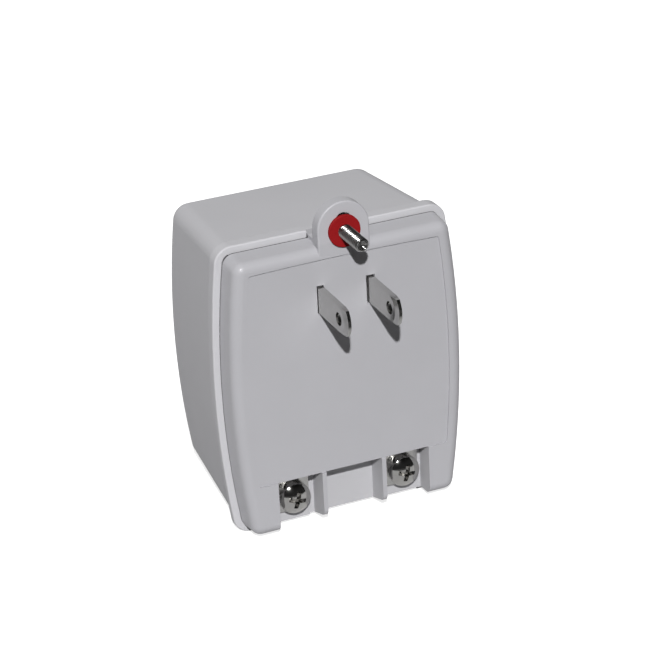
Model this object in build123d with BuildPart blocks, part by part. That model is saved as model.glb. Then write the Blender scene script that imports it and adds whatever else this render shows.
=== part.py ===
from build123d import *
import os

# A plug-in transformer for a North American wall socket: a barrel-sided moulded case
# with two flat blades, a fixing screw in an ear at the top and two screw terminals
# in a notch at the bottom.
# The origin is on the wall face, midway between the blades.
# The blades point along -Y, the case lies along +Y, and +Z is up. Millimetres.

os.makedirs("parts", exist_ok=True)

# Outline of the front cover where it meets the case
joint_y = 7.0
cover_half_width = 29.7
cover_top = 13.15
cover_bottom = -58.3
top_bulge = 2.4
bottom_bulge = 3.1
cover_corner = 2.8

# Front of the cover
border_y = -0.4
front_inset = 0.4
front_bottom_rise = 0.4
front_edge_radius = 2.4
wall = 2.0
side_wall = 2.5

# Recessed panel on the front, where the object rests against the wall plate
panel_top = 9.7
panel_arch = 0.4
panel_bottom = -44.8
panel_top_half_width = 24.0
panel_half_width = 25.9
panel_bottom_half_width = 24.6
panel_corner = 0.8

# Rim of the case, proud of the cover all round
rim_proud = 1.6
rim_top_depth = 3.6
rim_bottom_depth = 2.0
rim_edge = 0.4
joint_groove_width = 0.3
joint_groove_depth = 0.35
joint_groove_reach = 26.0
rim_corner = 4.4

# Case behind the rim
case_proud = 0.75
case_depth_y = 44.7
rear_half_width = 27.9
rear_top = 12.0
rear_bottom = -56.0
case_corner = 4.2
rear_edge_radius = 2.4
case_wall = 2.2

# Tongue of the cover inside the mouth of the case
tongue_depth = 2.2
tongue_wall = 1.3
tongue_gap = 0.15

# Ear for the fixing screw
ear_half_width = 6.5
ear_top = 23.4
ear_thickness = 3.1
ear_root_half_width = 6.2
ear_root_top = 14.0
ear_root_end_y = 9.2
ear_root_gap = 0.1
ear_edge = 0.4
slot_width = 4.3
slot_top = 20.7
slot_bottom = 13.4
groove_radius = 3.7

# Fixing screw and its fibre washer
fixing_z = 16.25
fixing_diameter = 3.5
fixing_neck_diameter = 2.9
fixing_tip_y = -11.0
fixing_head_diameter = 6.7
fixing_head_height = 2.2
fixing_head_dome = 0.8
fixing_tip_chamfer = 0.45
tip_cup_diameter = 1.9
tip_cup_depth = 0.7
washer_diameter = 7.9
washer_thickness = 0.8
washer_edge = 0.12

# Flat blades
blade_spacing = 12.7
blade_thickness = 1.52
blade_height = 6.35
blade_length = 16.5
blade_hole_diameter = 3.18
blade_hole_reach = 11.9
tip_bevel_length = 1.6
tip_bevel_depth = 0.38
tip_crown = 1.2
left_blade_relief = 0.15
right_blade_relief = 0.35
blade_relief_depth = 0.9
shoulder_height = 8.6
shoulder_depth = 1.5
tail_height = 4.6
tail_end_y = 7.2
boss_half_width = 9.4
boss_half_height = 5.6

# Terminal notch with its two thin partitions
notch_half_width = 19.7
notch_top = -44.8
notch_back_y = 5.9
notch_back_wall = 2.0
notch_side_wall = 1.6
partition_x = 7.8
partition_thickness = 1.1
partition_front_bottom = -56.3
partition_corner = 1.7
pad_inner_x = 9.9
pad_height = 0.8

# Terminals
terminal_x = 14.4
terminal_z = -51.4
plate_width = 8.3
plate_top = -46.6
plate_bottom = -55.3
plate_thickness = 0.9
plate_clipped_corner = 3.0
lug_width = 4.0
lug_end_y = 10.8
collar_diameter = 5.4
collar_length = 2.4
terminal_thread_diameter = 3.5
terminal_thread_length = 5.6
terminal_head_diameter = 7.8
terminal_head_height = 3.3
terminal_dome_radius = 5.95
terminal_head_edge = 0.25
terminal_recess_span = 5.0
terminal_recess_floor = 2.2
terminal_recess_depth = 1.9
left_recess_angle = -15
right_recess_angle = -12
recess_span = 4.6
recess_arm = 1.15
recess_depth = 1.2
collar_hole_gap = 0.1

# Iron core, an E and an I stack laid on their sides
core_y = 22.6
core_z = -24.2
stack = 22.0
core_length = 57.0
leg = 9.5
window_length = 28.5
core_hole_diameter = 4.0
core_hole_x = 19.0
core_hole_z = 23.75

# Coil
bobbin_fit = 0.15
bobbin_wall = 1.2
flange_thickness = 1.0
flange_half_z = 18.5
flange_half_y = 18.9
flange_corner = 1.5
winding_half_z = 17.7
winding_half_y = 17.8
winding_corner = 4.5
tape_thickness = 0.3
tape_width = 5.2
primary_tape_x = -12.9
secondary_tape_x = 3.4

# Thermal cut-off and leads
fuse_diameter = 3.8
fuse_length = 8.0
fuse_left_x = -12.3
fuse_y = 9.5
fuse_end_round = 0.6
fuse_pin = 0.8
fuse_pin_diameter = 1.4
lead_diameter = 1.4
lead_corner = 1.1
tail_lead_y = 5.4
primary_entry_x = -1.9
primary_entry_y = 7.8
secondary_entry_x = 2.1
secondary_exit_x = 10.2
lug_lead_y = 9.7
lug_lead_z = -44.4

# Posts that clamp the core between cover and case
post_x = 20.5
post_width = 5.0
post_height = 4.0

# Places worked out from the sizes above
joint_middle = (cover_top + cover_bottom) / 2
front_bottom = cover_bottom + front_bottom_rise
rim_back_y = joint_y + rim_top_depth
ear_back_y = border_y + ear_thickness
washer_front_y = border_y - washer_thickness
blade_x = blade_spacing / 2
notch_block_y = notch_back_y + notch_back_wall
pad_y = notch_back_y - pad_height
plate_front_y = pad_y - plate_thickness
stack_front_y = core_y - stack / 2
stack_back_y = core_y + stack / 2
core_top = core_z + core_length / 2
core_bottom = core_z - core_length / 2
half_window = window_length / 2
upper_post_z = core_top - post_height / 2
lower_post_z = core_bottom + post_height / 2
lug_z = plate_top - plate_thickness / 2
root_gap_width = 2 * (ear_root_half_width + ear_root_gap)
root_ledge_z = cover_top + case_proud - 0.1
ear_straight = ear_top - ear_half_width - panel_top - 1
head_front_y = plate_front_y - terminal_head_height


def face_plane(y):
    """Plane parallel to the wall face at the given y, with its normal towards the wall."""
    return Plane.XZ.offset(-y)


def barrel(y, half_width, top, bottom, corner):
    """Outline with bulging sides on the face plane at y."""
    middle = (top + bottom) / 2
    top_half_width = half_width - top_bulge
    bottom_half_width = half_width - bottom_bulge
    with BuildSketch(face_plane(y)) as outline:
        with BuildLine():
            Line((-top_half_width, top), (top_half_width, top))
            ThreePointArc((top_half_width, top), (half_width, middle), (bottom_half_width, bottom))
            Line((bottom_half_width, bottom), (-bottom_half_width, bottom))
            ThreePointArc((-bottom_half_width, bottom), (-half_width, middle), (-top_half_width, top))
        make_face()
        fillet(outline.vertices(), radius=corner)
    return outline.sketch


def cover_outline(y, inwards=0.0):
    """Outer form of the cover at y, which draws in slightly towards the front."""
    share = (joint_y - y) / (joint_y - border_y)
    return barrel(
        y,
        cover_half_width - front_inset * share - inwards,
        cover_top - front_inset * share - inwards,
        cover_bottom + front_bottom_rise * share + inwards,
        max(cover_corner - inwards, 0.8),
    )


def case_outline(y, inwards=0.0):
    """Outer form of the case at y, which draws in towards the rear."""
    share = (y - joint_y) / (case_depth_y - joint_y)
    front = (cover_half_width + case_proud, cover_top + case_proud, cover_bottom - case_proud)
    rear = (rear_half_width, rear_top, rear_bottom)
    half_width, top, bottom = (a + (b - a) * share for a, b in zip(front, rear))
    return barrel(
        y, half_width - inwards, top - inwards, bottom + inwards, max(case_corner - inwards, 0.8)
    )


# Front cover
with BuildPart() as front_cover:
    loft([cover_outline(joint_y), cover_outline(border_y)], ruled=True)
    fillet(front_cover.faces().sort_by(Axis.Y)[0].edges(), radius=front_edge_radius)

    # Recessed panel with an arched top and sides that follow the outline
    with BuildSketch(face_plane(border_y)) as panel:
        with BuildLine():
            ThreePointArc(
                (-panel_top_half_width, panel_top),
                (0, panel_top + panel_arch),
                (panel_top_half_width, panel_top),
            )
            ThreePointArc(
                (panel_top_half_width, panel_top),
                (panel_half_width, joint_middle),
                (panel_bottom_half_width, panel_bottom),
            )
            Line((panel_bottom_half_width, panel_bottom), (-panel_bottom_half_width, panel_bottom))
            ThreePointArc(
                (-panel_bottom_half_width, panel_bottom),
                (-panel_half_width, joint_middle),
                (-panel_top_half_width, panel_top),
            )
        make_face()
        fillet(panel.vertices(), radius=panel_corner)
    extrude(amount=border_y, mode=Mode.SUBTRACT)

    # Ear with its rounded top, and the root that fills the gap in the rim
    with BuildSketch(face_plane(border_y)):
        with Locations((0, ear_top - ear_half_width)):
            Circle(ear_half_width)
        with Locations((0, ear_top - ear_half_width)):
            Rectangle(2 * ear_half_width, ear_straight, align=(Align.CENTER, Align.MAX))
    extrude(amount=-ear_thickness)
    ear_edges = front_cover.edges().filter_by(GeomType.CIRCLE).group_by(Axis.Z)[-1]
    fillet(ear_edges.sort_by(Axis.Y)[0], radius=ear_edge)
    with BuildSketch(face_plane(ear_back_y)):
        with Locations((0, ear_root_top)):
            Rectangle(2 * ear_root_half_width, 4.0, align=(Align.CENTER, Align.MAX))
    extrude(amount=ear_back_y - ear_root_end_y)

    # Groove in the root, through which a screwdriver reaches the fixing screw
    with BuildSketch(face_plane(ear_back_y)):
        with Locations((0, fixing_z)):
            Circle(groove_radius)
    extrude(amount=ear_back_y - ear_root_end_y, mode=Mode.SUBTRACT)

    # Hollow inside
    loft(
        [cover_outline(joint_y, inwards=side_wall), cover_outline(wall, inwards=side_wall)],
        ruled=True,
        mode=Mode.SUBTRACT,
    )
    with BuildSketch(face_plane(joint_y)):
        with Locations((0, cover_top - wall)):
            Rectangle(2 * ear_root_half_width, 3.0, align=(Align.CENTER, Align.MAX))
    extrude(amount=joint_y - ear_root_end_y, mode=Mode.SUBTRACT)

    # Fine groove where the top of the cover meets the rim
    with BuildSketch(face_plane(joint_y)):
        for side in (-1, 1):
            with Locations((side * (ear_half_width + joint_groove_reach) / 2, cover_top)):
                Rectangle(joint_groove_reach - ear_half_width, 2 * joint_groove_depth)
    extrude(amount=joint_groove_width, mode=Mode.SUBTRACT)

    # Tongue that enters the mouth of the case
    tongue_end_y = joint_y + tongue_depth
    tongue_outer = case_wall + tongue_gap
    tongue_inner = tongue_outer + tongue_wall
    loft([case_outline(joint_y, tongue_outer), case_outline(tongue_end_y, tongue_outer)], ruled=True)
    loft(
        [case_outline(joint_y, tongue_inner), case_outline(tongue_end_y, tongue_inner)],
        ruled=True,
        mode=Mode.SUBTRACT,
    )

    # Block behind the terminal notch
    with BuildSketch(face_plane(wall)):
        with Locations((0, notch_top + notch_side_wall)):
            Rectangle(
                2 * (notch_half_width + notch_side_wall),
                notch_top + notch_side_wall - front_bottom - 1.5,
                align=(Align.CENTER, Align.MAX),
            )
    extrude(amount=wall - notch_block_y)

    # Terminal notch, open at the front and at the bottom, with its two partitions
    with BuildSketch(face_plane(notch_back_y)):
        with Locations((0, notch_top)):
            Rectangle(2 * notch_half_width, notch_top - cover_bottom + 3, align=(Align.CENTER, Align.MAX))
    extrude(amount=notch_back_y - border_y + 1, mode=Mode.SUBTRACT)
    for x in (-partition_x, partition_x):
        with BuildSketch(Plane.YZ.offset(x - partition_thickness / 2)) as partition:
            Polygon(
                (notch_back_y, notch_top),
                (border_y, notch_top),
                (border_y, partition_front_bottom),
                (notch_back_y, cover_bottom),
                align=None,
            )
            fillet(partition.vertices().sort_by(Axis.X)[:2].sort_by(Axis.Y)[0], radius=partition_corner)
        extrude(amount=partition_thickness)

    # Raised pads under the terminal plates
    for side in (-1, 1):
        with BuildSketch(face_plane(notch_back_y)):
            with Locations((side * (pad_inner_x + notch_half_width) / 2, notch_top)):
                Rectangle(
                    notch_half_width - pad_inner_x,
                    notch_top - cover_bottom - 0.1,
                    align=(Align.CENTER, Align.MAX),
                )
        extrude(amount=pad_height)

    # Holes for the thread collars and the solder lugs of the terminals
    with BuildSketch(face_plane(notch_block_y)):
        with Locations((-terminal_x, terminal_z), (terminal_x, terminal_z)):
            Circle(collar_diameter / 2 + collar_hole_gap)
        with Locations((-terminal_x, lug_z), (terminal_x, lug_z)):
            Rectangle(lug_width, plate_thickness)
    extrude(amount=notch_block_y - plate_front_y, mode=Mode.SUBTRACT)

    # Boss round the blades, with their slots and the pockets for their shoulders
    with BuildSketch(face_plane(wall)):
        Rectangle(2 * boss_half_width, 2 * boss_half_height)
    extrude(amount=-shoulder_depth)
    with BuildSketch(face_plane(wall + shoulder_depth)):
        with Locations((-blade_x, 0), (blade_x, 0)):
            Rectangle(blade_thickness, shoulder_height)
    extrude(amount=shoulder_depth, mode=Mode.SUBTRACT)
    with BuildSketch(face_plane(wall)):
        with Locations((-blade_x, 0), (blade_x, 0)):
            Rectangle(blade_thickness, blade_height)
    extrude(amount=wall, mode=Mode.SUBTRACT)
    with BuildSketch(face_plane(blade_relief_depth)):
        for x, relief in ((-blade_x, left_blade_relief), (blade_x, right_blade_relief)):
            with Locations((x, 0)):
                Rectangle(blade_thickness + 2 * relief, blade_height + 2 * right_blade_relief)
    extrude(amount=blade_relief_depth, mode=Mode.SUBTRACT)

    # Slot in the ear
    with BuildSketch(face_plane(ear_back_y)):
        with Locations((0, (slot_top + slot_bottom) / 2)):
            SlotOverall(slot_top - slot_bottom, slot_width, rotation=90)
    extrude(amount=ear_thickness, mode=Mode.SUBTRACT)

    # Posts that bear on the front of the core
    for x in (-post_x, post_x):
        for z, start in ((upper_post_z, wall), (lower_post_z, notch_back_y + 1)):
            with BuildSketch(face_plane(start)):
                with Locations((x, z)):
                    Rectangle(post_width, post_height)
            extrude(amount=start - stack_front_y)

# Rear case
with BuildPart() as rear_case:
    loft([case_outline(joint_y), case_outline(case_depth_y)], ruled=True)
    fillet(rear_case.faces().sort_by(Axis.Y)[-1].edges(), radius=rear_edge_radius)

    # Rim round the front edge
    rim_outline = barrel(
        joint_y,
        cover_half_width + rim_proud,
        cover_top + rim_proud,
        cover_bottom - rim_proud,
        rim_corner,
    )
    with BuildPart(mode=Mode.PRIVATE) as rim:
        extrude(rim_outline, amount=-rim_top_depth)
        with BuildSketch(Plane.YZ.offset(-cover_half_width - rim_proud)):
            Polygon(
                (joint_y, cover_top + rim_proud),
                (rim_back_y, cover_top + rim_proud),
                (joint_y + rim_bottom_depth, cover_bottom - rim_proud),
                (joint_y, cover_bottom - rim_proud),
                align=None,
            )
        extrude(amount=2 * (cover_half_width + rim_proud), mode=Mode.INTERSECT)
        for face in rim.faces().sort_by(Axis.Y)[0], rim.faces().sort_by(Axis.Y)[-1]:
            fillet(face.edges(), radius=rim_edge)
    add(rim.part)

    # Hollow inside, open at the front
    hollow_end_y = case_depth_y - case_wall
    loft(
        [case_outline(joint_y, case_wall), case_outline(hollow_end_y, case_wall)],
        ruled=True,
        mode=Mode.SUBTRACT,
    )

    # Gap for the root of the ear in the wall and in the whole rim, and gap at the notch
    with BuildSketch(face_plane(ear_root_end_y)):
        with Locations((0, cover_top - wall)):
            Rectangle(root_gap_width, 10.0, align=(Align.CENTER, Align.MIN))
    extrude(amount=ear_root_end_y - joint_y, mode=Mode.SUBTRACT)
    with BuildSketch(face_plane(rim_back_y)):
        with Locations((0, root_ledge_z)):
            Rectangle(root_gap_width, 10.0, align=(Align.CENTER, Align.MIN))
    extrude(amount=rim_top_depth, mode=Mode.SUBTRACT)
    with BuildSketch(face_plane(rim_back_y)):
        with Locations((0, cover_bottom)):
            Rectangle(2 * notch_half_width, 10.0, align=(Align.CENTER, Align.MAX))
    extrude(amount=rim_top_depth, mode=Mode.SUBTRACT)

    # Posts that bear on the back of the core
    for x in (-post_x, post_x):
        for z in (upper_post_z, lower_post_z):
            with BuildSketch(face_plane(stack_back_y)):
                with Locations((x, z)):
                    Rectangle(post_width, post_height)
            extrude(amount=stack_back_y - case_depth_y + case_wall / 2)

# Fixing screw, kept in the ear by the fibre washer on its thinner neck
with BuildPart() as mounting_screw:
    with BuildSketch(face_plane(ear_back_y)):
        with Locations((0, fixing_z)):
            Circle(fixing_head_diameter / 2)
    extrude(amount=-fixing_head_height)
    fillet(mounting_screw.edges().group_by(Axis.Y)[-1], radius=fixing_head_dome)
    with BuildSketch(face_plane(ear_back_y)):
        with Locations((0, fixing_z)):
            Circle(fixing_neck_diameter / 2)
    extrude(amount=ear_back_y - washer_front_y)
    with BuildSketch(face_plane(washer_front_y)):
        with Locations((0, fixing_z)):
            Circle(fixing_diameter / 2)
    extrude(amount=washer_front_y - fixing_tip_y)
    chamfer(mounting_screw.edges().group_by(Axis.Y)[0], length=fixing_tip_chamfer)
    with BuildSketch(face_plane(fixing_tip_y)):
        with Locations((0, fixing_z)):
            Circle(tip_cup_diameter / 2)
    extrude(amount=-tip_cup_depth, taper=30, mode=Mode.SUBTRACT)
    with BuildSketch(face_plane(ear_back_y + fixing_head_height)):
        with Locations((0, fixing_z)):
            Rectangle(recess_span, recess_arm)
            Rectangle(recess_arm, recess_span)
    extrude(amount=recess_depth, taper=12, mode=Mode.SUBTRACT)

with BuildPart() as screw_washer:
    with BuildSketch(face_plane(border_y)):
        with Locations((0, fixing_z)):
            Circle(washer_diameter / 2)
            Circle(fixing_neck_diameter / 2, mode=Mode.SUBTRACT)
    extrude(amount=washer_thickness)
    chamfer(screw_washer.edges().group_by(Axis.Y)[0].sort_by(SortBy.LENGTH)[-1], length=washer_edge)

# Blades, with a shoulder that seats in the boss and a tail for the lead
sides = (("left", -1), ("right", 1))
for side_name, side in sides:
    with BuildPart() as blade:
        with BuildSketch(Plane.YZ.offset(side * blade_x - blade_thickness / 2)):
            with BuildLine():
                Line((wall, -blade_height / 2), (wall, blade_height / 2))
                Line((wall, blade_height / 2), (tip_crown - blade_length, blade_height / 2))
                ThreePointArc(
                    (tip_crown - blade_length, blade_height / 2),
                    (-blade_length, 0),
                    (tip_crown - blade_length, -blade_height / 2),
                )
                Line((tip_crown - blade_length, -blade_height / 2), (wall, -blade_height / 2))
            make_face()
            with Locations((wall + shoulder_depth / 2, 0)):
                Rectangle(shoulder_depth, shoulder_height)
            with Locations(((wall + tail_end_y) / 2, 0)):
                Rectangle(tail_end_y - wall, tail_height)
        extrude(amount=blade_thickness)
        tip = blade.faces().sort_by(Axis.Y)[0]
        chamfer(
            tip.edges().filter_by(GeomType.CIRCLE),
            length=tip_bevel_depth,
            length2=tip_bevel_length,
            reference=tip,
        )
        with BuildSketch(Plane.YZ.offset(side * blade_x - blade_thickness)):
            with Locations((-blade_hole_reach, 0)):
                Circle(blade_hole_diameter / 2)
        extrude(amount=2 * blade_thickness, mode=Mode.SUBTRACT)
    blade.part.label = side_name + "_blade"
    export_step(blade.part, "parts/" + blade.part.label + ".step")

# Terminal plates, each with a threaded collar and a lug bent back through the wall
for side_name, side in sides:
    with BuildPart() as plate:
        with BuildSketch(face_plane(pad_y)) as blank:
            with Locations((side * terminal_x, plate_bottom)):
                Rectangle(plate_width, plate_top - plate_bottom, align=(Align.CENTER, Align.MIN))
            clipped = blank.vertices().sort_by(Axis.Y)[:2].sort_by(Axis.X)[-1]
            fillet(clipped, radius=plate_clipped_corner)
        extrude(amount=plate_thickness)
        with BuildSketch(face_plane(pad_y)):
            with Locations((side * terminal_x, terminal_z)):
                Circle(collar_diameter / 2)
        extrude(amount=-collar_length)
        with BuildSketch(face_plane(pad_y)):
            with Locations((side * terminal_x, plate_top)):
                Rectangle(lug_width, plate_thickness, align=(Align.CENTER, Align.MAX))
        extrude(amount=pad_y - lug_end_y)
        with BuildSketch(face_plane(plate_front_y)):
            with Locations((side * terminal_x, terminal_z)):
                Circle(terminal_thread_diameter / 2)
        extrude(amount=-plate_thickness - collar_length, mode=Mode.SUBTRACT)
    plate.part.label = side_name + "_terminal_plate"
    export_step(plate.part, "parts/" + plate.part.label + ".step")

# Terminal screws, with a pan head and a cross recess
recess_angles = {"left": left_recess_angle, "right": right_recess_angle}
for side_name, side in sides:
    recess_angle = recess_angles[side_name]
    with BuildPart() as terminal_screw:
        with BuildSketch(face_plane(plate_front_y)):
            with Locations((side * terminal_x, terminal_z)):
                Circle(terminal_head_diameter / 2)
        extrude(amount=terminal_head_height)
        with Locations((side * terminal_x, head_front_y + terminal_dome_radius, terminal_z)):
            Sphere(terminal_dome_radius, mode=Mode.INTERSECT)
        fillet(terminal_screw.edges().group_by(Axis.Y)[0], radius=terminal_head_edge)

        # Cross recess, whose four wings narrow towards its floor
        with BuildPart(mode=Mode.PRIVATE) as recess:
            with BuildSketch(face_plane(head_front_y)):
                with Locations((side * terminal_x, terminal_z)):
                    Rectangle(terminal_recess_span, recess_arm, rotation=recess_angle)
                    Rectangle(recess_arm, terminal_recess_span, rotation=recess_angle)
            extrude(amount=-terminal_recess_depth, taper=6)
            with BuildSketch(face_plane(head_front_y)) as mouth:
                with Locations((side * terminal_x, terminal_z)):
                    Circle(terminal_recess_span / 2)
            with BuildSketch(face_plane(head_front_y + terminal_recess_depth)) as recess_floor:
                with Locations((side * terminal_x, terminal_z)):
                    Circle(terminal_recess_floor / 2)
            loft([mouth.sketch, recess_floor.sketch], mode=Mode.INTERSECT)
        add(recess.part, mode=Mode.SUBTRACT)
        with BuildSketch(face_plane(plate_front_y)):
            with Locations((side * terminal_x, terminal_z)):
                Circle(terminal_thread_diameter / 2)
        extrude(amount=-terminal_thread_length)
        chamfer(terminal_screw.edges().group_by(Axis.Y)[-1], length=fixing_tip_chamfer)
    terminal_screw.part.label = side_name + "_terminal_screw"
    export_step(terminal_screw.part, "parts/" + terminal_screw.part.label + ".step")

# Iron core: the E stack has its yoke on the left, the I stack closes it on the right
hole_centres = [(x, core_z + z) for x in (-core_hole_x, core_hole_x) for z in (-core_hole_z, core_hole_z)]
with BuildPart() as core_e_stack:
    with BuildSketch(face_plane(stack_back_y)):
        with Locations((half_window, core_z)):
            Rectangle(window_length + leg, core_length, align=(Align.MAX, Align.CENTER))
        with Locations((0, core_z - 1.5 * leg), (0, core_z + 1.5 * leg)):
            Rectangle(window_length, leg, mode=Mode.SUBTRACT)
        with Locations(*hole_centres[:2]):
            Circle(core_hole_diameter / 2, mode=Mode.SUBTRACT)
    extrude(amount=stack)

with BuildPart() as core_i_stack:
    with BuildSketch(face_plane(stack_back_y)):
        with Locations((half_window, core_z)):
            Rectangle(leg, core_length, align=(Align.MIN, Align.CENTER))
        with Locations(*hole_centres[2:]):
            Circle(core_hole_diameter / 2, mode=Mode.SUBTRACT)
    extrude(amount=stack)


def coil_plane(x):
    """Plane across the coil axis at the given x, centred on the core."""
    return Plane(origin=(x, core_y, core_z), x_dir=(0, 1, 0), z_dir=(1, 0, 0))


tube_half_y = stack / 2 + bobbin_fit + bobbin_wall
tube_half_z = leg + bobbin_fit + bobbin_wall

# Coil former with a divider between the two windings
with BuildPart() as coil_bobbin:
    with BuildSketch(coil_plane(-half_window)):
        Rectangle(2 * tube_half_y, 2 * tube_half_z)
    extrude(amount=window_length)
    for x in (-half_window, -flange_thickness / 2, half_window - flange_thickness):
        with BuildSketch(coil_plane(x)):
            RectangleRounded(2 * flange_half_y, 2 * flange_half_z, flange_corner)
        extrude(amount=flange_thickness)
    with BuildSketch(coil_plane(-half_window)):
        Rectangle(stack + 2 * bobbin_fit, 2 * leg + 2 * bobbin_fit)
    extrude(amount=window_length, mode=Mode.SUBTRACT)

# Windings and the tape round each
winding_length = half_window - 1.5 * flange_thickness
winding_starts = (("primary", flange_thickness - half_window), ("secondary", flange_thickness / 2))
for winding_name, start in winding_starts:
    with BuildPart() as winding:
        with BuildSketch(coil_plane(start)):
            RectangleRounded(2 * winding_half_y, 2 * winding_half_z, winding_corner)
            Rectangle(2 * tube_half_y, 2 * tube_half_z, mode=Mode.SUBTRACT)
        extrude(amount=winding_length)
    winding.part.label = winding_name + "_winding"
    export_step(winding.part, "parts/" + winding.part.label + ".step")

tape_starts = (("primary", primary_tape_x), ("secondary", secondary_tape_x))
for winding_name, start in tape_starts:
    with BuildPart() as tape:
        with BuildSketch(coil_plane(start)):
            RectangleRounded(
                2 * (winding_half_y + tape_thickness),
                2 * (winding_half_z + tape_thickness),
                winding_corner + tape_thickness,
            )
            RectangleRounded(2 * winding_half_y, 2 * winding_half_z, winding_corner, mode=Mode.SUBTRACT)
        extrude(amount=tape_width)
    tape.part.label = winding_name + "_tape"
    export_step(tape.part, "parts/" + tape.part.label + ".step")

# Thermal cut-off, lying on the tape of the primary
winding_top = core_z + winding_half_z
winding_bottom = core_z - winding_half_z
fuse_z = winding_top + tape_thickness + fuse_diameter / 2
fuse_right_x = fuse_left_x + fuse_length
with BuildPart() as thermal_cutoff:
    with BuildSketch(Plane(origin=(fuse_left_x, fuse_y, fuse_z), z_dir=(1, 0, 0))):
        Circle(fuse_diameter / 2)
    extrude(amount=fuse_length)
    fillet(thermal_cutoff.edges().filter_by(GeomType.CIRCLE), radius=fuse_end_round)
    with BuildSketch(Plane(origin=(fuse_left_x - fuse_pin, fuse_y, fuse_z), z_dir=(1, 0, 0))):
        Circle(fuse_pin_diameter / 2)
    extrude(amount=fuse_length + 2 * fuse_pin)

# Leads, each along straight runs joined by arcs
pin_left_x = fuse_left_x - fuse_pin
pin_right_x = fuse_right_x + fuse_pin
lead_routes = {
    "left_blade_lead": [
        (-blade_x - blade_thickness / 2, tail_lead_y, 0),
        (pin_left_x - 3.2, tail_lead_y, 0),
        (pin_left_x - 3.2, fuse_y, fuse_z),
        (pin_left_x, fuse_y, fuse_z),
    ],
    "cutoff_lead": [
        (pin_right_x, fuse_y, fuse_z),
        (primary_entry_x, fuse_y, fuse_z),
        (primary_entry_x, fuse_y, winding_top),
    ],
    "right_blade_lead": [
        (blade_x - blade_thickness / 2, tail_lead_y, 0),
        (primary_entry_x, tail_lead_y, 0),
        (primary_entry_x, primary_entry_y, 0),
        (primary_entry_x, primary_entry_y, winding_top),
    ],
    "left_terminal_lead": [
        (secondary_entry_x, lug_lead_y, winding_bottom),
        (secondary_entry_x, lug_lead_y, lug_lead_z),
        (-terminal_x, lug_lead_y, lug_lead_z),
        (-terminal_x, lug_lead_y, plate_top),
    ],
    "right_terminal_lead": [
        (secondary_exit_x, lug_lead_y, winding_bottom),
        (secondary_exit_x, lug_lead_y, lug_lead_z),
        (terminal_x, lug_lead_y, lug_lead_z),
        (terminal_x, lug_lead_y, plate_top),
    ],
}
for lead_name, route in lead_routes.items():
    with BuildPart() as lead:
        with BuildLine() as run:
            FilletPolyline(*route, radius=lead_corner)
        with BuildSketch(Plane(origin=run.line @ 0, z_dir=run.line % 0)):
            Circle(lead_diameter / 2)
        sweep()
    lead.part.label = lead_name
    export_step(lead.part, "parts/" + lead_name + ".step")

single_pieces = {
    "front_cover": front_cover,
    "rear_case": rear_case,
    "mounting_screw": mounting_screw,
    "screw_washer": screw_washer,
    "core_e_stack": core_e_stack,
    "core_i_stack": core_i_stack,
    "coil_bobbin": coil_bobbin,
    "thermal_cutoff": thermal_cutoff,
}
for piece_name, piece in single_pieces.items():
    piece.part.label = piece_name
    export_step(piece.part, "parts/" + piece_name + ".step")
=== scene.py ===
import math

import bmesh
import bpy
from mathutils import Matrix, Vector


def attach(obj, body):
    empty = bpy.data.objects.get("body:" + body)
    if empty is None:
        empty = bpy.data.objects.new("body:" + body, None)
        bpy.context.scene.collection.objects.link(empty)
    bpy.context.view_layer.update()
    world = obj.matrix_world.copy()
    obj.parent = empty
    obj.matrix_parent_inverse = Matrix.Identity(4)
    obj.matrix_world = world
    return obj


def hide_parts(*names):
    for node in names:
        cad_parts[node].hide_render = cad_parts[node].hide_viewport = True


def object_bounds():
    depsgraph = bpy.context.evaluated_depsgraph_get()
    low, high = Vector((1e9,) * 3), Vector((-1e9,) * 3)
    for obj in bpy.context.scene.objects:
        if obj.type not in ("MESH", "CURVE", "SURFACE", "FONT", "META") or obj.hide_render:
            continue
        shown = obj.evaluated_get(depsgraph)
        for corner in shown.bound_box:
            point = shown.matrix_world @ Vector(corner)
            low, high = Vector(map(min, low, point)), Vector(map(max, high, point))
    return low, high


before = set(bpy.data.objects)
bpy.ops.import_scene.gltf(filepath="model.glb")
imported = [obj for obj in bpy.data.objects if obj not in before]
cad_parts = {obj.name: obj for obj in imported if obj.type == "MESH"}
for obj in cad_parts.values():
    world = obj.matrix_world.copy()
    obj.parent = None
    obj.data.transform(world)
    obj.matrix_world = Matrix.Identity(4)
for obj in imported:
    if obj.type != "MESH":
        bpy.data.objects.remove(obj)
cad_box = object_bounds()

bl_info = {
    "name": "Plug-in Transformer",
    "version": (1, 0, 0),
    "blender": (4, 5, 0),
    "location": "View3D > Sidebar > Transformer",
    "description": "Finishes a plug-in transformer and sets up a plain studio for it",
    "category": "Object",
}

MM = 0.001

# Length of one band of a wave texture whose scale is 1
WAVE_LENGTH = math.tau / 20


# Shader wiring


class Wire:
    """An output socket that can be used in sums with numbers and other sockets."""

    def __init__(self, finish, socket):
        self.finish = finish
        self.socket = socket

    def math(self, operation, *values):
        return self.finish.add("ShaderNodeMath", {"operation": operation}, dict(enumerate(values)))

    def __add__(self, other):
        return self.math("ADD", self, other)

    __radd__ = __add__

    def __mul__(self, other):
        return self.math("MULTIPLY", self, other)

    __rmul__ = __mul__

    def __sub__(self, other):
        return self.math("SUBTRACT", self, other)

    def __rsub__(self, other):
        return self.math("SUBTRACT", other, self)

    def __abs__(self):
        return self.math("ABSOLUTE", self)


def active(sockets, name):
    """The socket of that name that the node's settings switch on."""
    return next(socket for socket in sockets if socket.enabled and socket.name == name)


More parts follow.
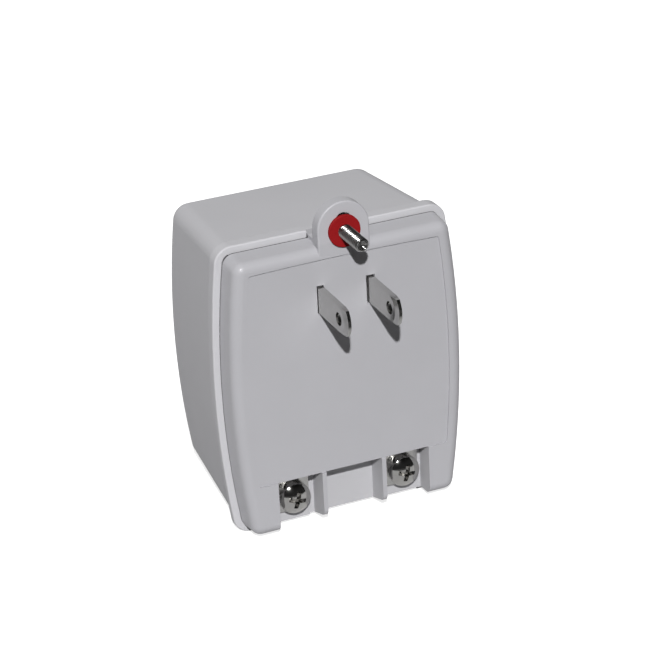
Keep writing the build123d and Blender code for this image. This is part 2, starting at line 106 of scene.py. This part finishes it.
class Graph:
    """A node tree under construction, with one method that adds any node."""

    def __init__(self, owner):
        owner.use_nodes = True
        self.owner = owner
        self.tree = owner.node_tree
        self.tree.nodes.clear()
        self.place = None

    def add(self, kind, settings=None, values=None, output=0):
        node = self.tree.nodes.new(kind)
        for key, value in (settings or {}).items():
            setattr(node, key, value)
        for key, value in (values or {}).items():
            socket = node.inputs[key] if isinstance(key, int) else active(node.inputs, key)
            if isinstance(value, Wire):
                self.tree.links.new(value.socket, socket)
            else:
                socket.default_value = value
        if isinstance(output, str):
            return Wire(self, active(node.outputs, output))
        return Wire(self, node.outputs[output]) if node.outputs else None

    def position(self):
        """Object coordinates, in metres, in the frame of the part."""
        if self.place is None:
            self.place = self.add("ShaderNodeTexCoord", output="Object")
        return self.place

    def mapped(self, scale, rotation=(0, 0, 0)):
        """Object coordinates, stretched along each axis and then turned."""
        return self.add(
            "ShaderNodeMapping",
            {"vector_type": "TEXTURE"},
            {"Vector": self.position(), "Rotation": rotation, "Scale": scale},
        )

    def axes(self, vector=None):
        """The three numbers of a vector."""
        vector = vector or self.position()
        split = self.add("ShaderNodeSeparateXYZ", values={0: vector})
        return [Wire(self, socket) for socket in split.socket.node.outputs]

    def noise(self, size, detail=2.0, roughness=0.5, vector=None, distortion=0.0):
        """Noise whose features are about the given size in metres, from 0 to 1."""
        return self.add(
            "ShaderNodeTexNoise",
            values={
                "Vector": vector or self.position(),
                "Scale": 1 / size,
                "Detail": detail,
                "Roughness": roughness,
                "Distortion": distortion,
            },
        )

    def bands(self, direction, spacing, distortion, detail_scale):
        """Even bands across one axis, at the given spacing in metres, from 0 to 1."""
        return self.add(
            "ShaderNodeTexWave",
            {"wave_type": "BANDS", "bands_direction": direction, "wave_profile": "SIN"},
            {
                "Vector": self.position(),
                "Scale": WAVE_LENGTH / spacing,
                "Distortion": distortion,
                "Detail Scale": detail_scale,
            },
        )

    def rise(self, value, start, end, low=0.0, high=1.0):
        """Smooth step of a value from low at start to high at end."""
        return self.add(
            "ShaderNodeMapRange",
            {"interpolation_type": "SMOOTHSTEP"},
            {"Value": value, "From Min": start, "From Max": end, "To Min": low, "To Max": high},
        )

    def blend(self, factor, first, second):
        """A colour between two others."""
        return self.add(
            "ShaderNodeMix",
            {"data_type": "RGBA"},
            {"Factor": factor, "A": first, "B": second},
            output="Result",
        )

    def bump(self, height, distance, strength, under=None):
        """A normal for relief of the given depth in metres, on top of another normal."""
        values = {"Height": height, "Distance": distance, "Strength": strength}
        if under:
            values["Normal"] = under
        return self.add("ShaderNodeBump", values=values)

    def surface(self, **values):
        """Principled surface. An underscore in a name stands for a space."""
        named = {key.replace("_", " "): value for key, value in values.items()}
        shader = self.add("ShaderNodeBsdfPrincipled", values=named)
        self.add("ShaderNodeOutputMaterial", values={"Surface": shader})
        return self.owner


class Finish(Graph):
    """The graph of a new material."""

    def __init__(self, name):
        super().__init__(bpy.data.materials.new(name))


def shade(colour, factor=1.0):
    """The same colour with an alpha of 1, lighter or darker by a factor."""
    return (*(min(1.0, part * factor) for part in tuple(colour)[:3]), 1.0)


def dress(node, material):
    """Gives a material to every slot of a CAD node."""
    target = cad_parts[node]
    if not target.material_slots:
        target.data.materials.append(material)
    for slot in target.material_slots:
        slot.material = material


# Sizes and colours that a user would change


def colour_property(name, description, default):
    return bpy.props.FloatVectorProperty(
        name=name, description=description, default=default, subtype="COLOR", min=0, max=1
    )


def length_property(name, description, default_mm, top_mm):
    return bpy.props.FloatProperty(
        name=name,
        description=description,
        default=default_mm * MM,
        min=0,
        max=top_mm * MM,
        subtype="DISTANCE",
        unit="LENGTH",
        precision=5,
    )


class CasingSettings(bpy.types.PropertyGroup):
    smooth: colour_property("Smooth", "Plastic where the mould is smooth", (0.515, 0.512, 0.532))
    etched: colour_property(
        "Etched", "Plastic where the mould is etched matt", (0.424, 0.421, 0.443)
    )
    grain: length_property("Grain", "Size of the fine grain of the mould", 0.22, 2)
    notch_top: length_property("Notch Top", "Distance of the notch below the blades", 44.8, 100)
    notch_half_width: length_property("Notch Half Width", "Half the width of the notch", 19.7, 60)
    joint: length_property("Joint", "Distance of the joint behind the wall face", 7.0, 40)


class MetalSettings(bpy.types.PropertyGroup):
    blade: colour_property("Blades", "Nickel plate on the blades", (0.555, 0.552, 0.535))
    screw: colour_property("Fixing Screw", "Zinc plate on the fixing screw", (0.55, 0.545, 0.535))
    head: colour_property("Terminal Screws", "Nickel plate on the screw heads", (0.70, 0.69, 0.67))
    plate: colour_property("Terminal Plates", "Tin on the terminal plates", (0.74, 0.735, 0.72))
    washer: colour_property("Washer", "Red vulcanised fibre", (0.28, 0.008, 0.010))


class ScrewSettings(bpy.types.PropertyGroup):
    height: length_property("Height", "Height of the screw axis above the blades", 16.25, 60)
    radius: length_property("Radius", "Radius over the crests of the thread", 1.74, 5)
    depth: length_property("Thread Depth", "Depth of the thread", 0.40, 1)
    pitch: length_property("Pitch", "Distance between two turns of the thread", 0.794, 3)
    start: length_property("Start", "Distance of the first turn from the wall face", 1.2, 20)
    reach: length_property("Reach", "Distance of the tip from the wall face", 11.0, 40)
    chamfer: length_property("Chamfer", "Length of the chamfer at the tip", 0.45, 2)
    cup: length_property("Cup", "Radius of the cup in the tip", 0.95, 3)
    steps: bpy.props.IntProperty(
        name="Steps", description="Steps in one turn of the thread", default=40, min=8, max=96
    )


class InnerSettings(bpy.types.PropertyGroup):
    iron: colour_property("Iron", "Varnished laminations", (0.085, 0.088, 0.098))
    former: colour_property("Former", "Nylon of the coil former", (0.72, 0.71, 0.66))
    copper: colour_property("Copper", "Enamelled copper wire", (0.60, 0.22, 0.09))
    tape: colour_property("Tape", "Polyester tape", (0.80, 0.56, 0.08))
    cutoff: colour_property("Cut-off", "Aluminium can of the thermal cut-off", (0.78, 0.77, 0.75))
    mains_lead: colour_property(
        "Mains Lead", "Insulation on the mains side", (0.035, 0.035, 0.037)
    )
    output_lead: colour_property(
        "Output Lead", "Insulation on the output side", (0.45, 0.03, 0.025)
    )
    lamination: length_property("Lamination", "Thickness of one lamination", 0.5, 2)
    primary_wire: length_property("Primary Wire", "Diameter of the primary wire", 0.2, 2)
    secondary_wire: length_property("Secondary Wire", "Diameter of the secondary wire", 0.8, 3)


class StudioSettings(bpy.types.PropertyGroup):
    azimuth: bpy.props.FloatProperty(
        name="Azimuth",
        description="Angle of the camera from the front of the object",
        default=math.radians(-22.413),
        subtype="ANGLE",
        unit="ROTATION",
    )
    elevation: bpy.props.FloatProperty(
        name="Elevation",
        description="Angle of the camera above the object",
        default=math.radians(24.877),
        subtype="ANGLE",
        unit="ROTATION",
    )
    roll: bpy.props.FloatProperty(
        name="Roll",
        description="Turn of the camera about its own axis",
        default=math.radians(-2.856),
        subtype="ANGLE",
        unit="ROTATION",
    )
    distance: length_property("Distance", "Distance of the camera from its target", 606.552, 5000)
    target: bpy.props.FloatVectorProperty(
        name="Target",
        description="Point in the middle of the picture",
        default=(-5.634 * MM, 0.0, -6.65 * MM),
        subtype="TRANSLATION",
        unit="LENGTH",
    )
    lens: bpy.props.FloatProperty(
        name="Lens",
        description="Focal length on a 36 mm sensor",
        default=144.59,
        min=20,
        max=400,
        unit="CAMERA",
    )
    key_direction: bpy.props.FloatVectorProperty(
        name="Key Direction",
        description="Direction from the object towards the main lamp",
        default=(-0.300, -0.756, 0.582),
        subtype="DIRECTION",
    )
    key_distance: length_property("Key Distance", "Distance of the main lamp", 1500, 5000)
    key_size: length_property("Key Size", "Diameter of the main lamp", 42, 1000)
    key_power: bpy.props.FloatProperty(
        name="Key Power", description="Power of the main lamp", default=27.0, unit="POWER"
    )
    surround: bpy.props.FloatProperty(
        name="Surround", description="Brightness of the room behind the object", default=0.40
    )
    floor: colour_property("Floor", "White paper under the object", (0.55, 0.55, 0.55))
    paper_front: length_property("Paper Front", "Where the paper stops reflecting light", 50, 2000)


SETTINGS = {
    "transformer_casing": CasingSettings,
    "transformer_metal": MetalSettings,
    "transformer_screw": ScrewSettings,
    "transformer_inner": InnerSettings,
    "transformer_studio": StudioSettings,
}


class PieceOperator:
    """What the operators share."""

    bl_options = {"REGISTER", "UNDO"}


# Where each zone of the cover fades in, from the wall face towards the case
NOTCH_DEPTH = (-0.32 * MM, -0.20 * MM)
SIDE_DEPTH = (0.8 * MM, 2.4 * MM)
FRONT_EDGE = (-0.38 * MM, -0.30 * MM)

# How far from the wall face a surface no longer counts as the panel
OFF_PANEL = (0.02 * MM, 0.06 * MM)

# Where the ear and the top of the cover fade in, above the middle of the blades
EAR_FOOT = (13.3 * MM, 14.2 * MM)
TOP_FOOT = (10.5 * MM, 12.5 * MM)

# How far in front of the joint its line of painted shade starts and is full
PAINTED_JOINT_SHADE = (0.75 * MM, 0.45 * MM)

# How softly the notch ends at its top and at its sides
NOTCH_TOP_FADE = 0.1 * MM
NOTCH_SIDE_FADE = 0.15 * MM


class FinishCasing(PieceOperator, bpy.types.Operator):
    """Give the cover and the case their moulded plastic"""

    bl_idname = "transformer.finish_casing"
    bl_label = "Finish Casing"

    def execute(self, context):
        settings = context.scene.transformer_casing
        dress("front_cover", self.cover(settings))
        dress("rear_case", self.case(settings))
        return {"FINISHED"}

    def moulded(self, finish, settings, grain_strength):
        """Bump of a moulded surface: fine grain over a slight waviness."""
        grain = finish.noise(settings.grain, detail=3.0, roughness=0.6)
        flow = finish.noise(9 * MM, detail=1.0)
        waves = finish.bump(flow, 0.05 * MM, 0.6)
        return grain, finish.bump(grain, 0.02 * MM, grain_strength, under=waves)

    def notch(self, finish, settings, x, y, z):
        """1 on the walls of the terminal notch."""
        top, half_width = -settings.notch_top, settings.notch_half_width
        low = finish.rise(z, top - NOTCH_TOP_FADE, top + NOTCH_TOP_FADE, 1.0, 0.0)
        across = finish.rise(abs(x), half_width, half_width + NOTCH_SIDE_FADE, 1.0, 0.0)
        return low * across * finish.rise(y, *NOTCH_DEPTH)

    def joint(self, finish, settings, y, ear, top):
        """1 where shade is painted into the joint with the case, weaker on the sides and absent
        under the ear.
        """
        start, end = PAINTED_JOINT_SHADE
        painted_line = finish.rise(y, settings.joint - start, settings.joint - end) * (1 - ear)
        return painted_line * (0.6 + top * 0.4)

    def cover(self, settings):
        """Matt plastic, smoother in the notch and on its front edge, with painted shade in the
        joint.
        """
        finish = Finish("cover_plastic")
        x, y, z = finish.axes()
        notch = self.notch(finish, settings, x, y, z)
        side = finish.rise(y, *SIDE_DEPTH)
        ear = finish.rise(z, *EAR_FOOT)
        joint = self.joint(finish, settings, y, ear, finish.rise(z, *TOP_FOOT))
        off_panel = finish.rise(abs(y), *OFF_PANEL)
        polished = finish.rise(y, *FRONT_EDGE) * off_panel * (1 - notch)
        grain, normal = self.moulded(finish, settings, 0.55)
        peel = finish.noise(0.9 * MM, detail=2.0)
        normal = finish.bump(peel * (1 - notch), 0.03 * MM, 0.5, under=normal)
        cloud = finish.noise(14 * MM, detail=3.0, roughness=0.55)
        etched, smooth = settings.etched, settings.smooth
        matt = finish.blend(cloud, shade(etched, 0.97), shade(etched, 1.03))
        matt = finish.blend(ear * 0.8 + side * (1 - ear), matt, shade(etched, 1.07))
        plain = finish.blend(cloud, shade(smooth, 0.89), shade(smooth, 0.94))
        base = finish.blend(notch, matt, plain)
        # Painted shade: a dark line where the cover meets the case, darker along the top
        base = finish.blend(joint, base, shade(etched, 0.12))
        speck = finish.rise(finish.noise(0.5 * MM, detail=4.0, roughness=0.7), 0.66, 0.74)
        base = finish.blend(speck * 0.08, base, shade(etched, 0.8))
        return finish.surface(
            Base_Color=base,
            Roughness=0.52 + grain * 0.10 - polished * 0.26,
            Normal=normal,
            IOR=1.5,
            Specular_IOR_Level=0.3,
        )

    def case(self, settings):
        """Smooth plastic, a little duller than the cover."""
        finish = Finish("case_plastic")
        grain, normal = self.moulded(finish, settings, 0.4)
        cloud = finish.noise(16 * MM, detail=3.0, roughness=0.55)
        base = finish.blend(cloud, shade(settings.smooth, 0.98), shade(settings.smooth, 1.04))
        speck = finish.rise(finish.noise(0.6 * MM, detail=4.0, roughness=0.7), 0.68, 0.76)
        base = finish.blend(speck * 0.06, base, shade(settings.smooth, 0.7))
        return finish.surface(
            Base_Color=base,
            Roughness=0.54 + grain * 0.12,
            Normal=normal,
            IOR=1.5,
            Specular_IOR_Level=0.15,
        )


class FinishBlades(PieceOperator, bpy.types.Operator):
    """Give the blades their nickel plate over rolled brass"""

    bl_idname = "transformer.finish_blades"
    bl_label = "Finish Blades"

    def execute(self, context):
        colour = context.scene.transformer_metal.blade
        finish = Finish("blade_nickel")
        rolled = finish.mapped(scale=(1.0, 24.0, 1.0))
        streaks = finish.noise(0.4 * MM, detail=2.0, vector=rolled, roughness=0.5)
        stain = finish.noise(3.2 * MM, detail=2.0, roughness=0.5, distortion=0.4)
        base = finish.blend(stain, shade(colour, 0.86), shade(colour, 1.06))
        dull = finish.rise(stain, 0.42, 0.62)
        rough = 0.10 + streaks * 0.05 + dull * 0.06
        material = finish.surface(Base_Color=base, Metallic=1.0, Roughness=rough)
        for node in ("left_blade", "right_blade"):
            dress(node, material)
        return {"FINISHED"}


# One pitch of the thread: the share along it, and the share of the way from root to crest
THREAD_PROFILE = (
    (0.0, 0.0),
    (0.14, 0.0),
    (0.22, 0.10),
    (0.50, 0.88),
    (0.57, 1.0),
    (0.67, 1.0),
    (0.74, 0.88),
    (1.0, 0.10),
    (1.0, 0.0),
)

# The cup in the tip: the share of its radius, and how deep it is there
CUP_PROFILE = ((1.0, 0.0), (0.94, 0.05 * MM), (0.62, 0.45 * MM), (0.25, 0.62 * MM))

# How far the neck reaches into the thread, and how near points are before they are merged
NECK_LAP = 0.05 * MM
MERGE = 0.001 * MM
THREAD_MERGE = 0.002 * MM
SHARP_ANGLE = math.radians(38)


def cut_off(body, level, side):
    """Drops what lies beyond a level on one side along Y, and closes the hole."""
    cut = bmesh.ops.bisect_plane(
        body,
        geom=body.verts[:] + body.edges[:] + body.faces[:],
        plane_co=(0, level, 0),
        plane_no=(0, side, 0),
        clear_outer=True,
    )
    rim = [item for item in cut["geom_cut"] if isinstance(item, bmesh.types.BMEdge)]
    bmesh.ops.holes_fill(body, edges=rim)


class MakeFixingScrew(PieceOperator, bpy.types.Operator):
    """Cut the thread of the fixing screw and keep its modelled head and neck"""

    bl_idname = "transformer.make_fixing_screw"
    bl_label = "Make Fixing Screw"

    def execute(self, context):
        sizes = context.scene.transformer_screw
        mesh = bpy.data.meshes.new("fixing_screw")
        body = bmesh.new()
        self.head_and_neck(body, sizes)
        self.thread(body, sizes)
        body.to_mesh(mesh)
        body.free()
        screw = bpy.data.objects.new("fixing_screw", mesh)
        context.scene.collection.objects.link(screw)
        mesh.materials.append(self.plated(context.scene.transformer_metal.screw))
        mesh.shade_smooth()
        mesh.set_sharp_from_angle(angle=SHARP_ANGLE)
        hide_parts("mounting_screw")
        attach(screw, "root")
        return {"FINISHED"}

    def head_and_neck(self, body, sizes):
        """The modelled screw, cut off where its thread starts."""
        body.from_mesh(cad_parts["mounting_screw"].data)
        bmesh.ops.remove_doubles(body, verts=body.verts, dist=MERGE)
        cut_off(body, -sizes.start - NECK_LAP, -1)

    def thread(self, body, sizes):
        """One pitch of the thread's profile, spun along a helix and trimmed at both ends."""
        thread = bmesh.new()
        root = sizes.height + sizes.radius - sizes.depth
        first = -sizes.start + sizes.pitch
        corners = [
            thread.verts.new((0, first - along * sizes.pitch, root + rise * sizes.depth))
            for along, rise in THREAD_PROFILE
        ]
        strip = [thread.edges.new(pair) for pair in zip(corners, corners[1:])]
        turns = math.ceil((sizes.reach - sizes.start) / sizes.pitch) + 2
        bmesh.ops.spin(
            thread,
            geom=corners + strip,
            cent=(0, 0, sizes.height),
            axis=(0, 1, 0),
            dvec=(0, -sizes.pitch / sizes.steps, 0),
            angle=turns * math.tau,
            steps=turns * sizes.steps,
        )
        bmesh.ops.remove_doubles(thread, verts=thread.verts, dist=THREAD_MERGE)
        cut_off(thread, -sizes.start, 1)
        cut_off(thread, -sizes.reach, -1)
        self.shape_tip(thread, sizes)
        bmesh.ops.recalc_face_normals(thread, faces=thread.faces)
        piece = bpy.data.meshes.new("thread")
        thread.to_mesh(piece)
        thread.free()
        body.from_mesh(piece)
        bpy.data.meshes.remove(piece)

    def shape_tip(self, thread, sizes):
        """Dish the end face and chamfer the last turns."""
        axis = Vector((0, 0, sizes.height))
        end = [
            face
            for face in thread.faces
            if abs(face.calc_center_median().y + sizes.reach) < MERGE
        ]
        for share, depth in CUP_PROFILE:
            bmesh.ops.inset_region(thread, faces=end, thickness=0.02 * MM, use_even_offset=False)
            for vert in {vert for face in end for vert in face.verts}:
                out = (vert.co - axis) * Vector((1, 0, 1))
                out = out.normalized() * sizes.cup * share
                vert.co = axis + out + Vector((0, depth - sizes.reach, 0))
        for vert in thread.verts:
            out = (vert.co - axis) * Vector((1, 0, 1))
            limit = sizes.radius - sizes.chamfer + (vert.co.y + sizes.reach)
            if out.length > limit:
                vert.co = axis + out.normalized() * limit + Vector((0, vert.co.y, 0))

    def plated(self, colour):
        finish = Finish("screw_zinc")
        stain = finish.noise(1.4 * MM, detail=3.0, roughness=0.6)
        base = finish.blend(stain, shade(colour, 0.84), shade(colour, 1.08))
        return finish.surface(Base_Color=base, Metallic=1.0, Roughness=0.13 + stain * 0.12)


class FinishWasher(PieceOperator, bpy.types.Operator):
    """Give the washer its red vulcanised fibre"""

    bl_idname = "transformer.finish_washer"
    bl_label = "Finish Washer"

    def execute(self, context):
        colour = context.scene.transformer_metal.washer
        finish = Finish("washer_fibre")
        pressed = finish.mapped(scale=(3.0, 1.0, 1.0))
        fibres = finish.noise(0.25 * MM, detail=4.0, roughness=0.65, vector=pressed)
        cloud = finish.noise(2.0 * MM, detail=2.0)
        base = finish.blend(fibres, shade(colour, 0.82), shade(colour, 1.15))
        base = finish.blend(cloud * 0.3, base, shade(colour, 0.75))
        dress(
            "screw_washer",
            finish.surface(
                Base_Color=base,
                Roughness=0.56 + fibres * 0.15,
                Normal=finish.bump(fibres, 0.02 * MM, 0.6),
                Specular_IOR_Level=0.12,
            ),
        )
        return {"FINISHED"}


class FinishTerminals(PieceOperator, bpy.types.Operator):
    """Give the terminal screws and plates their plating"""

    bl_idname = "transformer.finish_terminals"
    bl_label = "Finish Terminals"

    def execute(self, context):
        metal = context.scene.transformer_metal
        head = self.plated("terminal_nickel", metal.head, 0.05, 0.06)
        plate = self.plated("plate_tin", metal.plate, 0.15, 0.08)
        for side in ("left", "right"):
            dress(side + "_terminal_screw", head)
            dress(side + "_terminal_plate", plate)
        return {"FINISHED"}

    def plated(self, name, colour, polish, spread):
        """Stained and finely scratched plate, with its least roughness and the range of it."""
        finish = Finish(name)
        stain = finish.noise(1.6 * MM, detail=4.0, roughness=0.62, distortion=0.3)
        brushed = finish.mapped(scale=(12.0, 1.0, 1.0), rotation=(0, 0.6, 0))
        scratches = finish.noise(0.08 * MM, detail=2.0, vector=brushed)
        base = finish.blend(stain, shade(colour, 0.86), shade(colour, 1.05))
        return finish.surface(
            Base_Color=base,
            Metallic=1.0,
            Roughness=polish + stain * spread,
            Normal=finish.bump(scratches, 0.006 * MM, 0.35),
        )


class FinishInner(PieceOperator, bpy.types.Operator):
    """Finish the core, the coil, the cut-off and the leads inside the case"""

    bl_idname = "transformer.finish_inner"
    bl_label = "Finish Inner Parts"

    def execute(self, context):
        settings = context.scene.transformer_inner
        iron = self.laminated(settings)
        dress("core_e_stack", iron)
        dress("core_i_stack", iron)
        dress("coil_bobbin", self.nylon(settings.former))
        for side, wire in (
            ("primary", settings.primary_wire),
            ("secondary", settings.secondary_wire),
        ):
            dress(side + "_winding", self.wound(side + "_copper", settings.copper, wire))
        tape = self.taped(settings.tape)
        dress("primary_tape", tape)
        dress("secondary_tape", tape)
        dress("thermal_cutoff", self.can(settings.cutoff))
        mains = self.insulated("mains_insulation", settings.mains_lead)
        for node in ("left_blade_lead", "cutoff_lead", "right_blade_lead"):
            dress(node, mains)
        output = self.insulated("output_insulation", settings.output_lead)
        for node in ("left_terminal_lead", "right_terminal_lead"):
            dress(node, output)
        return {"FINISHED"}

    def laminated(self, settings):
        """Varnished sheet iron in layers across the stack, with some rust."""
        finish = Finish("core_iron")
        layers = finish.bands("Y", settings.lamination, distortion=0.4, detail_scale=60.0)
        varnish = finish.noise(5 * MM, detail=4.0, roughness=0.6)
        rust = finish.rise(finish.noise(2 * MM, detail=5.0, roughness=0.7), 0.62, 0.8)
        base = finish.blend(varnish, shade(settings.iron, 0.7), shade(settings.iron, 1.5))
        base = finish.blend(layers * 0.35, base, shade(settings.iron, 0.5))
        base = finish.blend(rust * 0.3, base, (0.16, 0.07, 0.03, 1))
        return finish.surface(
            Base_Color=base,
            Metallic=0.7,
            Roughness=0.36 + varnish * 0.2,
            Normal=finish.bump(layers, 0.08 * MM, 0.7),
        )

    def nylon(self, colour):
        finish = Finish("former_nylon")
        grain = finish.noise(0.3 * MM, detail=3.0)
        cloud = finish.noise(7 * MM, detail=2.0)
        return finish.surface(
            Base_Color=finish.blend(cloud, shade(colour, 0.94), shade(colour, 1.04)),
            Roughness=0.38 + grain * 0.15,
            Normal=finish.bump(grain, 0.02 * MM, 0.4),
        )

    def wound(self, name, colour, wire):
        """Turns that lie side by side along the coil, with some unevenness and painted shade
        between them.
        """
        finish = Finish(name)
        turns = finish.bands("X", wire, distortion=1.2, detail_scale=0.5)
        enamel = finish.noise(3 * MM, detail=3.0)
        base = finish.blend(enamel, shade(colour, 0.8), shade(colour, 1.15))
        # Painted shade: the grooves between the turns are darkened
        base = finish.blend(turns, shade(colour, 0.3), base)
        return finish.surface(
            Base_Color=base,
            Metallic=0.9,
            Roughness=0.24 + enamel * 0.12,
            Normal=finish.bump(turns, wire * 0.5, 0.9),
        )

    def taped(self, colour):
        finish = Finish("coil_tape")
        pulled = finish.mapped(scale=(5.0, 1.0, 1.0))
        creases = finish.noise(2.2 * MM, detail=3.0, vector=pulled)
        base = finish.blend(creases, shade(colour, 0.85), shade(colour, 1.08))
        return finish.surface(
            Base_Color=base,
            Roughness=0.18 + creases * 0.12,
            Normal=finish.bump(creases, 0.15 * MM, 0.5),
        )

    def can(self, colour):
        finish = Finish("cutoff_can")
        along = finish.mapped(scale=(10.0, 1.0, 1.0))
        drawn = finish.noise(0.15 * MM, detail=2.0, vector=along)
        return finish.surface(
            Base_Color=finish.blend(drawn, shade(colour, 0.88), shade(colour, 1.04)),
            Metallic=1.0,
            Roughness=0.26 + drawn * 0.12,
            Normal=finish.bump(drawn, 0.01 * MM, 0.5),
        )

    def insulated(self, name, colour):
        finish = Finish(name)
        skin = finish.noise(1.2 * MM, detail=3.0)
        return finish.surface(
            Base_Color=finish.blend(skin, shade(colour, 0.85), shade(colour, 1.2)),
            Roughness=0.34 + skin * 0.14,
            Normal=finish.bump(skin, 0.03 * MM, 0.4),
        )


FLOOR_HALF_SIZE = 3.0

# How far the paper takes to fade out at its front, and how dark it is beyond that
PAPER_FADE = 60 * MM
PAPER_DIM = 0.12

# What the paper adds where the camera sees it, so that it comes out white
PAPER_GLOW = 0.76


class SetStage(PieceOperator, bpy.types.Operator):
    """Put the object on white paper, with one main lamp and the camera of the picture"""

    bl_idname = "transformer.set_stage"
    bl_label = "Set Stage"

    def execute(self, context):
        studio = context.scene.transformer_studio
        self.lay_floor(context, studio)
        self.hang_lamp(context, studio)
        self.paint_room(context, studio)
        self.place_camera(context, studio)
        context.scene.view_settings.view_transform = "Standard"
        return {"FINISHED"}

    def lay_floor(self, context, studio):
        mesh = bpy.data.meshes.new("floor")
        paper = bmesh.new()
        bmesh.ops.create_grid(paper, x_segments=1, y_segments=1, size=FLOOR_HALF_SIZE)
        bmesh.ops.translate(paper, verts=paper.verts, vec=(0, 0, cad_box[0][2]))
        paper.to_mesh(mesh)
        paper.free()
        floor = bpy.data.objects.new("floor", mesh)
        context.scene.collection.objects.link(floor)
        mesh.materials.append(self.paper(studio))

    def paper(self, studio):
        """White where it is seen, clear from below, and dim to other rays beyond its front."""
        finish = Finish("floor_paper")
        seen = finish.add("ShaderNodeLightPath", output="Is Camera Ray")
        depth = finish.axes()[1]
        lit = finish.rise(depth, -studio.paper_front - PAPER_FADE, -studio.paper_front)
        tone = finish.blend(lit, shade(studio.floor, PAPER_DIM), shade(studio.floor))
        tone = finish.blend(seen, tone, shade(studio.floor))
        paper = finish.add("ShaderNodeBsdfDiffuse", values={"Color": tone, "Roughness": 0.3})
        glow = finish.add(
            "ShaderNodeEmission", values={"Color": (1, 1, 1, 1), "Strength": seen * PAPER_GLOW}
        )
        top = finish.add("ShaderNodeAddShader", values={0: paper, 1: glow})
        under = finish.add("ShaderNodeNewGeometry", output="Backfacing")
        clear = finish.add("ShaderNodeBsdfTransparent")
        both = finish.add("ShaderNodeMixShader", values={0: under, 1: top, 2: clear})
        finish.add("ShaderNodeOutputMaterial", values={"Surface": both})
        return finish.owner

    def hang_lamp(self, context, studio):
        direction = Vector(studio.key_direction).normalized()
        lamp = bpy.data.lights.new("key_lamp", "AREA")
        lamp.shape = "DISK"
        lamp.size = studio.key_size
        lamp.energy = studio.key_power
        key = bpy.data.objects.new("key_lamp", lamp)
        key.location = direction * studio.key_distance
        key.rotation_euler = direction.to_track_quat("Z", "Y").to_euler()
        context.scene.collection.objects.link(key)

    def paint_room(self, context, studio):
        """White to the camera, bright low behind the object to metal, and dim to plastic."""
        world = bpy.data.worlds.new("room")
        context.scene.world = world
        room = Graph(world)
        toward = room.add("ShaderNodeTexCoord", output="Generated")
        _, depth, height = room.axes(toward)
        outputs = room.add("ShaderNodeLightPath").socket.node.outputs
        camera, glossy, transmitted = (
            Wire(room, outputs[name])
            for name in ("Is Camera Ray", "Is Glossy Ray", "Is Transmission Ray")
        )
        mirrored = glossy + transmitted
        behind = room.rise(depth, -0.05, 0.35, 0.02, 0.7)
        metal_sees = behind * room.rise(height, 0.25, 0.75, 1.0, 0.15)
        above = depth * 0.75 + height * 0.5
        plastic_sees = room.rise(above, 0.0, 0.75, 0.0, studio.surround)
        unseen = mirrored * metal_sees + (1 - mirrored) * plastic_sees
        strength = camera + (1 - camera) * unseen
        shader = room.add(
            "ShaderNodeBackground", values={"Color": (1, 1, 1, 1), "Strength": strength}
        )
        room.add("ShaderNodeOutputWorld", values={"Surface": shader})

    def place_camera(self, context, studio):
        azimuth, elevation = studio.azimuth, studio.elevation
        back = Vector(
            (
                math.sin(azimuth) * math.cos(elevation),
                -math.cos(azimuth) * math.cos(elevation),
                math.sin(elevation),
            )
        )
        right = Vector((math.cos(azimuth), math.sin(azimuth), 0))
        up = back.cross(right)
        turned = math.cos(studio.roll) * right + math.sin(studio.roll) * up
        up = math.cos(studio.roll) * up - math.sin(studio.roll) * right
        lens = bpy.data.cameras.new("camera")
        lens.lens = studio.lens
        lens.sensor_width = 36
        lens.clip_start = 0.05
        lens.clip_end = 20
        camera = bpy.data.objects.new("camera", lens)
        axes = Matrix((turned, up, back)).transposed()
        place = Vector(studio.target) + back * studio.distance
        camera.matrix_world = Matrix.Translation(place) @ axes.to_4x4()
        context.scene.collection.objects.link(camera)
        context.scene.camera = camera


OPERATORS = (
    FinishCasing,
    FinishBlades,
    MakeFixingScrew,
    FinishWasher,
    FinishTerminals,
    FinishInner,
    SetStage,
)


class TransformerPanel(bpy.types.Panel):
    """Lists the steps that finish the transformer"""

    bl_idname = "VIEW3D_PT_transformer"
    bl_label = "Transformer"
    bl_space_type = "VIEW_3D"
    bl_region_type = "UI"
    bl_category = "Transformer"

    def draw(self, context):
        for operator in OPERATORS:
            self.layout.operator(operator.bl_idname)
        for name, group in SETTINGS.items():
            box = self.layout.box()
            for key in group.__annotations__:
                box.prop(getattr(context.scene, name), key)


def register():
    for name, group in SETTINGS.items():
        bpy.utils.register_class(group)
        setattr(bpy.types.Scene, name, bpy.props.PointerProperty(type=group))
    for operator in OPERATORS:
        bpy.utils.register_class(operator)
    bpy.utils.register_class(TransformerPanel)


def unregister():
    bpy.utils.unregister_class(TransformerPanel)
    for operator in reversed(OPERATORS):
        bpy.utils.unregister_class(operator)
    for name, group in reversed(SETTINGS.items()):
        delattr(bpy.types.Scene, name)
        bpy.utils.unregister_class(group)


def main():
    register()
    bpy.ops.transformer.finish_casing()
    bpy.ops.transformer.finish_blades()
    bpy.ops.transformer.make_fixing_screw()
    bpy.ops.transformer.finish_washer()
    bpy.ops.transformer.finish_terminals()
    bpy.ops.transformer.finish_inner()
    bpy.ops.transformer.set_stage()


if __name__ == "__main__":
    main()
